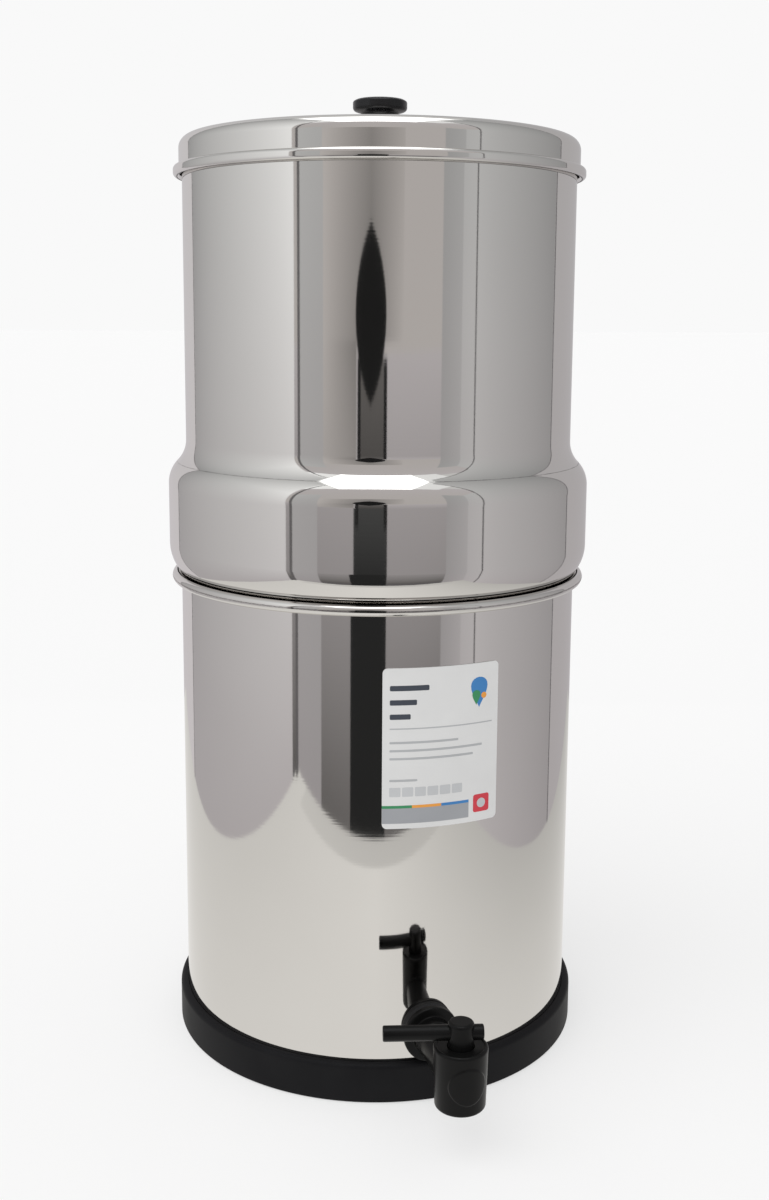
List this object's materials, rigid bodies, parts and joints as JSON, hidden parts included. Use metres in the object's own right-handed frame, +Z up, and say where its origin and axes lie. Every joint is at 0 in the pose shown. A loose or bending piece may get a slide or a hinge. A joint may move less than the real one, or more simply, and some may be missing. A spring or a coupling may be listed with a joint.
{
  "type": "gravity water filter with tap",
  "caption": "Gravity water filter: stacked polished steel chambers with a lid, filter candles inside, a black base ring and a lever tap.",
  "frame": {"origin": "on the chambers' axis, in the plane of the base ring's underside, which is the table", "axes": "+Z up along the chambers' axis, -Y towards the tap (front), +X to the right seen from the front"},
  "size_m": [0.2222, 0.2797, 0.4941],
  "materials": {
    "polished_steel": "mirror polished stainless steel sheet",
    "black_plastic": "smooth moulded, semi-gloss",
    "base_rubber": "moulded, satin",
    "seal_rubber": "soft, matte",
    "silicone_seal": "translucent white, satin",
    "label_vinyl": "printed vinyl, satin",
    "candle_ceramic": "unglazed porous ceramic",
    "carbon": "pressed granular carbon",
    "white_plastic": "moulded, satin",
    "screw_steel": "plain stainless"
  },
  "bodies": {
    "stand": {"base_ring": "base_rubber", "lower_chamber": "polished_steel", "front_label": "label_vinyl", "tap_body": "black_plastic", "tap_outer_washer": "seal_rubber", "tap_inner_washer": "seal_rubber", "tap_lock_nut": "black_plastic", "plug_retaining_ring": "black_plastic"},
    "lever": {"tap_plug": "black_plastic", "plug_o_rings": "seal_rubber", "lever_rod": "black_plastic"},
    "upper": {"upper_chamber": "polished_steel", "candle_1_ceramic": "candle_ceramic", "candle_1_carbon_core": "carbon", "candle_1_base": "white_plastic", "candle_1_washer": "silicone_seal", "candle_1_wing_nut": "white_plastic", "candle_2_ceramic": "candle_ceramic", "candle_2_carbon_core": "carbon", "candle_2_base": "white_plastic", "candle_2_washer": "silicone_seal", "candle_2_wing_nut": "white_plastic"},
    "lid": {"lid": "polished_steel", "lid_knob": "black_plastic", "knob_washer": "screw_steel", "knob_screw": "screw_steel"}
  },
  "joints": [
    {"name": "upper_lift", "type": "slide", "parent": "stand", "child": "upper", "axis": [0, 0, 1], "range_m": [0, 0.12]},
    {"name": "lid_lift", "type": "slide", "parent": "upper", "child": "lid", "axis": [0, 0, 1], "range_m": [0, 0.08]},
    {"name": "lever_turn", "type": "hinge", "parent": "stand", "child": "lever", "pos_m": [0, -0.1555, 0.0603], "axis": [0, 0, 1], "range_deg": [0, 102]}
  ]
}
